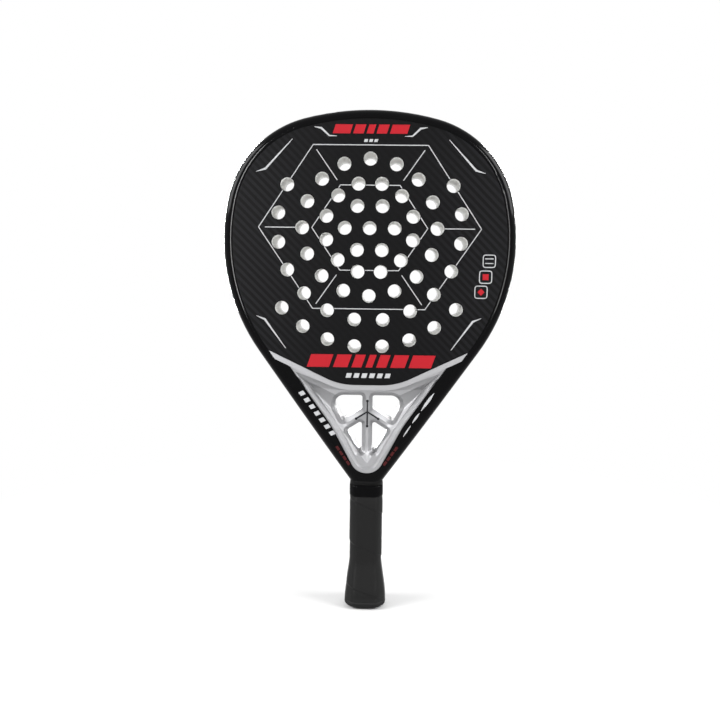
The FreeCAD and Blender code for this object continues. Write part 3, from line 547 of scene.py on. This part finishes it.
def badge_rings():
    """Three badges by the rim: in each direction the ring's radius is one over the sixth-power mean
    of the cosine and the sine, which makes a square with round corners. The top one has two bars.
    """
    turn = np.radians(np.arange(0, 361, 6))
    radius = 5.4 * (np.cos(turn) ** 6 + np.sin(turn) ** 6) ** (-1 / 6)
    quads = []
    for x, z in BADGES:
        quads.append(stroke(np.stack([x + radius * np.cos(turn), z + radius * np.sin(turn)], -1), 0.8))
    quads.append(bar(102, 327, 7.4, 0.8))
    quads.append(bar(102, 323, 7.4, 0.8))
    return quads


def leg_ladder():
    """Seven pale dashes down the left leg, across it."""
    quads = []
    for share in np.linspace(0, 1, 7):
        quads.append(bar(27.5 * share - 61.6, 202.9 - 36.5 * share, 4, 4.6, 0.8, turn=-55))
    return quads


def leg_streak():
    """A streak down the right leg in three strokes, each wide in the middle, along one bent line."""
    line = np.array([(60, 207), (52, 195.5), (42.5, 181.5), (33, 166.2)])
    bends = np.linspace(0, 1, len(line))
    quads = []
    for start, end, width in ((0, 0.45, 2.4), (0.5, 0.72, 1.8), (0.77, 1, 1.2)):
        share = np.linspace(start, end, 4)
        points = np.stack([np.interp(share, bends, line[:, axis]) for axis in (0, 1)], -1)
        quads.append(stroke(points, [0.4, width, width, 0.4]))
    return quads


def small_marks():
    """Pale marks: short dashes under the red bars, badges by the rim, marks on the legs."""
    lower = bar_row(-20, 220, 6 * [4.6], 2.4, 4.2, 1.2)
    upper = bar_row(-6, 426.5, 3 * [3], 1.4, 2.4, 0.7)
    return lower + upper + badge_rings() + leg_ladder() + leg_streak()


def red_marks():
    """Red bars: a wide row above the band, a narrow row near the top, and marks in two badges."""
    lower = bar_row(-55, 229.5, (20, 13, 9, 6, 9, 13, 20), 3.6, 11.5, 4)
    upper = bar_row(-33, 433.6, (15, 9, 6, 9, 15), 2.6, 7.6, 2.4)
    marks = []
    for (x, z), half, turn in ((BADGES[1], 2.6, 0), (BADGES[2], 2.2, 45)):
        marks.append(bar(x - half, z - half, 2 * half, 2 * half, turn=turn))
    return lower + upper + marks


def leg_dashes():
    """Four dark red dashes on each lower leg, along it."""
    quads = []
    for side in (-1, 1):
        for share in np.linspace(0, 1, 4):
            x, z = side * (26.5 - 9.5 * share), 154.5 - 14 * share
            quads.append(bar(x - 2.2, z - 1.2, 4.4, 2.4, turn=57 * side))
    return quads


# Handle

# Half width, half depth and corner of the room that the stem fills in the grip and the collar.
STEM_ROOM = (13.2 * MM, 11.9 * MM, 5 * MM)


def handle_radius(turn, half_width, half_depth, corner, sharpness=20):
    """Radius of a soft eight-sided handle section in the direction turn.

    Each pair of opposite walls counts with the share of its distance that the direction covers;
    the radius is one over the high-power mean of the four shares, so the corners come out round.
    """
    diagonal = (half_width + half_depth - corner) / math.sqrt(2)
    cos, sin = np.cos(turn), np.sin(turn)
    shares = np.stack(
        np.broadcast_arrays(
            np.abs(cos) / half_width,
            np.abs(sin) / half_depth,
            np.abs(cos + sin) / math.sqrt(2) / diagonal,
            np.abs(cos - sin) / math.sqrt(2) / diagonal,
        )
    )
    return (shares**sharpness).sum(0) ** (-1 / sharpness)


def sleeve(name, rows, material, columns=192, proud=0.0):
    """A closed sleeve round the handle: rows of (height, half width, half depth, corner) run up the
    outside and back down the inside; proud is an outward step, or an array of one for each point.
    """
    height, half_width, half_depth, corner = np.array(rows).T[:, :, None]
    turn = np.linspace(0, 2 * math.pi, columns, endpoint=False)[None, :]
    radius = handle_radius(turn, half_width, half_depth, corner) + proud
    rings = np.broadcast_arrays(radius * np.cos(turn), radius * np.sin(turn), height)
    # Each point joins the next one round and the next row up; the last row joins the first.
    point = np.arange(len(rows) * columns).reshape(len(rows), columns)
    above, following = np.roll(point, -1, axis=0), np.roll(point, -1, axis=1)
    faces = np.stack([point, following, np.roll(above, -1, axis=1), above], axis=-1)
    piece = new_piece(name, np.stack(rings, axis=-1).reshape(-1, 3), faces.reshape(-1, 4), material)
    outward(piece)
    return piece


def rounded_runs(heights, knots, levels, softness=4 * MM, samples=15):
    """Straight runs between the knots, rounded by averaging over a window of twice the softness."""
    shift = np.linspace(-softness, softness, samples)[:, None]
    return np.interp(heights[None, :] + shift, knots, levels).mean(0)


def wrap_steps(height, turn, bottom, top):
    """How far the wrap stands back at each height and turn. Each turn of it laps over the one
    below: the surface falls back evenly from one edge to the next, then steps out again over the
    lip. The steps fade out at both ends.
    """
    pitch = sizes().wrap_pitch
    first_edge, lip, fade = 98 * MM, 1.2 * MM / pitch, 3 * MM
    share = ((height - first_edge) / pitch + (turn + math.pi / 2) / (2 * math.pi)) % 1
    lap = np.where(share < lip, share / lip, (1 - share) / (1 - lip))
    ends = np.clip((top - height) / fade, 0, 1) * np.clip((height - bottom) / fade, 0, 1)
    return (lap - 1) * sizes().wrap_step * ends


def make_grip():
    """Wound grip: straight over the cap, a waist above it, then slowly wider up to the band, under
    which it is thinner. Its inside follows the cap's skirt and the stem.
    """
    low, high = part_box("base_grip")
    bottom, top = low.z, high.z
    knots = [bottom, bottom + 6 * MM, 43 * MM, top - 12 * MM, top - 9 * MM, top]
    height = np.linspace(bottom, top, 300)
    half_width = rounded_runs(height, knots, np.array([19.4, 19.4, 15.4, 15.8, 15.1, 15.1]) * MM)
    half_depth = rounded_runs(height, knots, np.array([17.8, 17.8, 14.0, 14.3, 13.8, 13.8]) * MM)
    corner = rounded_runs(height, knots, np.array([7.5, 7.5, 5, 5, 5, 5]) * MM)
    outside = list(zip(height, half_width, half_depth, corner))
    inside = [
        (top, *STEM_ROOM),
        (39 * MM, *STEM_ROOM),
        (32 * MM, 14.1 * MM, 12.8 * MM, 5 * MM),
        (bottom, 17.4 * MM, 16.1 * MM, 6.6 * MM),
    ]
    columns = 256
    turn = np.linspace(0, 2 * math.pi, columns, endpoint=False)[None, :]
    steps = wrap_steps(height[:, None], turn, bottom, top)
    proud = np.concatenate([steps, np.zeros((len(inside), columns))])
    wrap = sleeve("wrapped_grip", outside + inside, synthetic_wrap(), columns, proud)
    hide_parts("base_grip")


def make_collar():
    """Rubber collar: a sleeve whose upper edge is rounded to a small lip by a quarter circle."""
    low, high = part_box("grip_collar")
    lip, corner = 0.5 * MM, STEM_ROOM[2]
    rows = [(low.z, high.x, high.y, corner)]
    for turn in np.radians(np.linspace(0, 90, 7)):
        drawn = lip * (1 - math.cos(turn))
        rows.append((high.z - lip * (1 - math.sin(turn)), high.x - drawn, high.y - drawn, corner))
    rows.append((high.z, *STEM_ROOM))
    rows.append((low.z, *STEM_ROOM))
    collar = sleeve("rubber_collar", rows, moulded_rubber())
    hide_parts("grip_collar")


def make_tape():
    """Film band: a thin sleeve pulled tight over the end of the grip. Its edges are drawn in with
    the eighth power of the distance from its middle.
    """
    low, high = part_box("finishing_tape")
    film, edge, corner = 0.45 * MM, 0.25 * MM, 5 * MM
    rows = []
    for share in np.linspace(0, 1, 13):
        drawn = edge * (2 * share - 1) ** 8
        rows.append((low.z + share * (high.z - low.z), high.x - drawn, high.y - drawn, corner))
    rows.append((high.z, high.x - film, high.y - film, corner))
    rows.append((low.z, high.x - film, high.y - film, corner))
    band = sleeve("closing_band", rows, pvc_film())
    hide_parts("finishing_tape")


def make_cap():
    """Moulded cap: the cord hole's wall, a flat end, an edge rounded by a quarter circle, the side."""
    low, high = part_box("butt_cap")
    floor, edge, corner = 7 * MM, 5 * MM, 7.5 * MM
    hole, mouth, rounding = 3 * MM, 3.6 * MM, 0.6 * MM
    rows = [
        (floor, hole, hole, 1.757 * MM),
        (rounding, hole, hole, 1.757 * MM),
        (0.0, mouth, mouth, 2.1 * MM),
        (0.0, high.x - edge, high.y - edge, 6 * MM),
    ]
    for angle in np.radians(np.linspace(7.5, 90, 12)):
        inset = edge * (1 - math.sin(angle))
        rows.append((edge * (1 - math.cos(angle)), high.x - inset, high.y - inset, corner))
    rows.append((floor, high.x, high.y, corner))
    cap = sleeve("moulded_cap", rows, moulded_nylon(), 256)
    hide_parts("butt_cap")


# Studio


def make_camera():
    """A 35 mm camera 0.65 m in front and 0.31 m up, tipped slightly down and to one side."""
    camera = bpy.data.cameras.new("Camera")
    camera.sensor_width = 36
    camera.lens = 35.11
    camera.clip_start = 0.02
    camera.clip_end = 50
    rig = bpy.data.objects.new("Camera", camera)
    bpy.context.scene.collection.objects.link(rig)
    rig.location = (0.0047, -0.6451, 0.3091)
    tip, turn, roll = math.radians(90 - 6.64), math.radians(1.08), math.radians(0.70)
    aim = Matrix.Rotation(turn, 3, "Z") @ Matrix.Rotation(tip, 3, "X") @ Matrix.Rotation(roll, 3, "Z")
    rig.rotation_euler = aim.to_euler()
    bpy.context.scene.camera = rig


def make_lamps():
    """Soft light from both sides, from overhead and from behind, and upright strips that only show
    as reflections along the lacquered rim. All face the middle of the racket, and the overhead and
    rear panels show in no reflection.

    Each has a place, a width, a height and a radiance; a lamp's power is its radiance times its
    area and pi.
    """
    middle = Vector((0, 0, 0.28))
    panels = {
        "left_softbox": ((-1.7, -0.42, 1.3), 1.2, 1.2, 12.0),
        "right_softbox": ((1.7, -0.42, 1.3), 1.2, 1.2, 12.0),
        "front_overhead": ((0, -1.14, 1.92), 2.2, 1.4, 0.4),
        "rear_overhead": ((0, 1.14, 1.92), 2.2, 1.4, 1.6),
        "rear_panel": ((0, 2.2, 0.6), 1.8, 1.0, 4.0),
    }
    strips = {
        "left_strip": ((-0.95, -2.1, 0.5), 0.12, 1.8, 90.0),
        "right_strip": ((0.95, -2.1, 0.5), 0.12, 1.8, 50.0),
        "left_rear_strip": ((-0.95, 2.1, 0.5), 0.12, 1.8, 90.0),
        "right_rear_strip": ((0.95, 2.1, 0.5), 0.12, 1.8, 50.0),
    }
    for name, (place, width, height, radiance) in {**panels, **strips}.items():
        light = bpy.data.lights.new(name, "AREA")
        light.shape = "RECTANGLE"
        light.size, light.size_y = width, height
        light.energy = radiance * width * height * math.pi
        lamp = bpy.data.objects.new(name, light)
        bpy.context.scene.collection.objects.link(lamp)
        lamp.location = place
        lamp.rotation_euler = (middle - Vector(place)).to_track_quat("-Z", "Y").to_euler()
        lamp.visible_glossy = name in strips or name.endswith("softbox")
        lamp.visible_diffuse = name in panels


def background_rays(tree):
    """One for the rays that show the background: camera, glossy and transmission rays."""
    path = add(tree, "ShaderNodeLightPath")
    seen = path.outputs["Is Camera Ray"]
    for ray in ("Is Glossy Ray", "Is Transmission Ray"):
        feeds = [(0, seen), (1, path.outputs[ray])]
        seen = add(tree, "ShaderNodeMath", [("operation", "MAXIMUM")], feeds).outputs[0]
    return seen


def make_world():
    """White to the eye, and a soft even light on everything else."""
    world = bpy.data.worlds.new("Studio")
    bpy.context.scene.world = world
    world.use_nodes = True
    tree = world.node_tree
    light = tree.nodes["Background"]
    light.inputs["Color"].default_value = (1, 1, 1, 1)
    light.inputs["Strength"].default_value = 0.3
    white = add(tree, "ShaderNodeBackground", Color=(1, 1, 1, 1), Strength=1.0)
    shaders = [(1, light.outputs[0]), (2, white.outputs[0])]
    both = add(tree, "ShaderNodeMixShader", feeds=[(0, background_rays(tree)), *shaders])
    tree.links.new(both.outputs[0], tree.nodes["World Output"].inputs["Surface"])


def white_board():
    """Matt white board that fades to the plain white background between 15 and 60 cm from the
    butt, so that the racket's shadow shows and the board's edge doesn't.
    """
    material, tree, shader = new_finish("Matt white board", colours().floor, 0.9, Specular_IOR_Level=0.0)
    place = add(tree, "ShaderNodeTexCoord").outputs["Object"]
    reach = add(tree, "ShaderNodeVectorMath", [("operation", "LENGTH")], [(0, place)])
    fade = add(
        tree,
        "ShaderNodeMapRange",
        [("interpolation_type", "SMOOTHSTEP")],
        [("Value", reach.outputs["Value"])],
        From_Min=0.15,
        From_Max=0.6,
    )
    white = add(tree, "ShaderNodeEmission", Color=(1, 1, 1, 1), Strength=1.0)
    feeds = [(0, fade.outputs["Result"]), (1, background_rays(tree))]
    share = add(tree, "ShaderNodeMath", [("operation", "MULTIPLY")], feeds)
    shaders = [(1, shader.outputs[0]), (2, white.outputs[0])]
    both = add(tree, "ShaderNodeMixShader", feeds=[(0, share.outputs[0]), *shaders])
    tree.links.new(both.outputs[0], tree.nodes["Material Output"].inputs["Surface"])
    return material


def make_floor():
    """A round floor of 3 m radius, 0.2 mm under the racket."""
    radius, drop, corners = 3.0, 0.2 * MM, 96
    turn = np.linspace(0, 2 * math.pi, corners, endpoint=False)
    points = np.stack([radius * np.cos(turn), radius * np.sin(turn), np.full(corners, -drop)], -1)
    mesh = bpy.data.meshes.new("floor")
    mesh.from_pydata(points, [], [list(range(corners))])
    floor = bpy.data.objects.new("floor", mesh)
    bpy.context.scene.collection.objects.link(floor)
    wear(floor, white_board())


# Operators


class RACKET_OT_frame(Operator):
    """Lacquers the moulded frame"""

    bl_idname = "racket.frame"
    bl_label = "Lacquered frame"

    def execute(self, context):
        wear(NODES["frame"], gloss_lacquer())
        return {"FINISHED"}


class RACKET_OT_faces(Operator):
    """Finishes the two drilled faces and the foam between them"""

    bl_idname = "racket.faces"
    bl_label = "Faces and core"

    def execute(self, context):
        satin = satin_laminate()
        for node in ("face_front", "face_back"):
            wear(NODES[node], satin)
        wear(NODES["eva_core"], eva_foam())
        return {"FINISHED"}


class RACKET_OT_bridge(Operator):
    """Paints the truss bridge and its bands, and darkens its inlay"""

    bl_idname = "racket.bridge"
    bl_label = "Truss bridge"

    def execute(self, context):
        silver = silver_paint("Silver paint on moulding")[0]
        softened("throat_bridge", hollow_paint(), "truss_bridge")
        for node in ("throat_band_front", "throat_band_back"):
            wear(NODES[node], silver)
        dark = epoxy_inlay()
        for node in ("bridge_inlay_front", "bridge_inlay_back"):
            wear(NODES[node], dark)
        return {"FINISHED"}


class RACKET_OT_print(Operator):
    """Prints the bars, lines and marks on both sides"""

    bl_idname = "racket.print"
    bl_label = "Printed trim"

    def execute(self, context):
        tones = colours()
        printed("silver_lines", trim_lines(), screen_ink("Silver screen ink", tones.pale, 0.4))
        printed("pale_marks", small_marks(), screen_ink("Pale screen ink", tones.pale, 0.45))
        printed("red_bars", red_marks(), screen_ink("Red screen ink", tones.red, 0.42))
        printed("leg_dashes", leg_dashes(), screen_ink("Dark red screen ink", tones.dark_red, 0.42))
        return {"FINISHED"}


class RACKET_OT_grip(Operator):
    """Winds the grip on the handle"""

    bl_idname = "racket.grip"
    bl_label = "Wrapped grip"

    def execute(self, context):
        make_grip()
        return {"FINISHED"}


class RACKET_OT_fittings(Operator):
    """Makes the collar, the band over the grip's end, the butt cap and the foam in the handle"""

    bl_idname = "racket.fittings"
    bl_label = "Collar, band and cap"

    def execute(self, context):
        make_collar()
        make_tape()
        make_cap()
        wear(NODES["handle_foam"], rigid_foam())
        return {"FINISHED"}


class RACKET_OT_stage(Operator):
    """Sets the camera, lamps, world and floor"""

    bl_idname = "racket.stage"
    bl_label = "Studio"

    def execute(self, context):
        make_camera()
        make_lamps()
        make_world()
        make_floor()
        return {"FINISHED"}


class RACKET_PT_looks(Panel):
    """Lists the racket's sizes, colours and pieces"""

    bl_label = "Racket"
    bl_idname = "RACKET_PT_looks"
    bl_space_type = "VIEW_3D"
    bl_region_type = "UI"
    bl_category = "Racket"

    def draw(self, context):
        for group in (context.scene.racket_sizes, context.scene.racket_colours):
            box = self.layout.box()
            for name in group.__annotations__:
                box.prop(group, name)
        for operator in OPERATORS:
            self.layout.operator(operator.bl_idname)


OPERATORS = (
    RACKET_OT_frame,
    RACKET_OT_faces,
    RACKET_OT_bridge,
    RACKET_OT_print,
    RACKET_OT_grip,
    RACKET_OT_fittings,
    RACKET_OT_stage,
)
CLASSES = (RacketSizes, RacketColours, *OPERATORS, RACKET_PT_looks)


def register():
    """Adds the classes and the scene's two groups of settings."""
    for item in CLASSES:
        bpy.utils.register_class(item)
    bpy.types.Scene.racket_sizes = PointerProperty(type=RacketSizes)
    bpy.types.Scene.racket_colours = PointerProperty(type=RacketColours)


def unregister():
    """Takes them away again."""
    del bpy.types.Scene.racket_colours
    del bpy.types.Scene.racket_sizes
    for item in reversed(CLASSES):
        bpy.utils.unregister_class(item)


def main():
    """Builds every piece and the studio."""
    register()
    bpy.context.scene.view_settings.view_transform = "Standard"
    bpy.ops.racket.frame()
    bpy.ops.racket.faces()
    bpy.ops.racket.bridge()
    bpy.ops.racket.print()
    bpy.ops.racket.grip()
    bpy.ops.racket.fittings()
    bpy.ops.racket.stage()


if __name__ == "__main__":
    main()
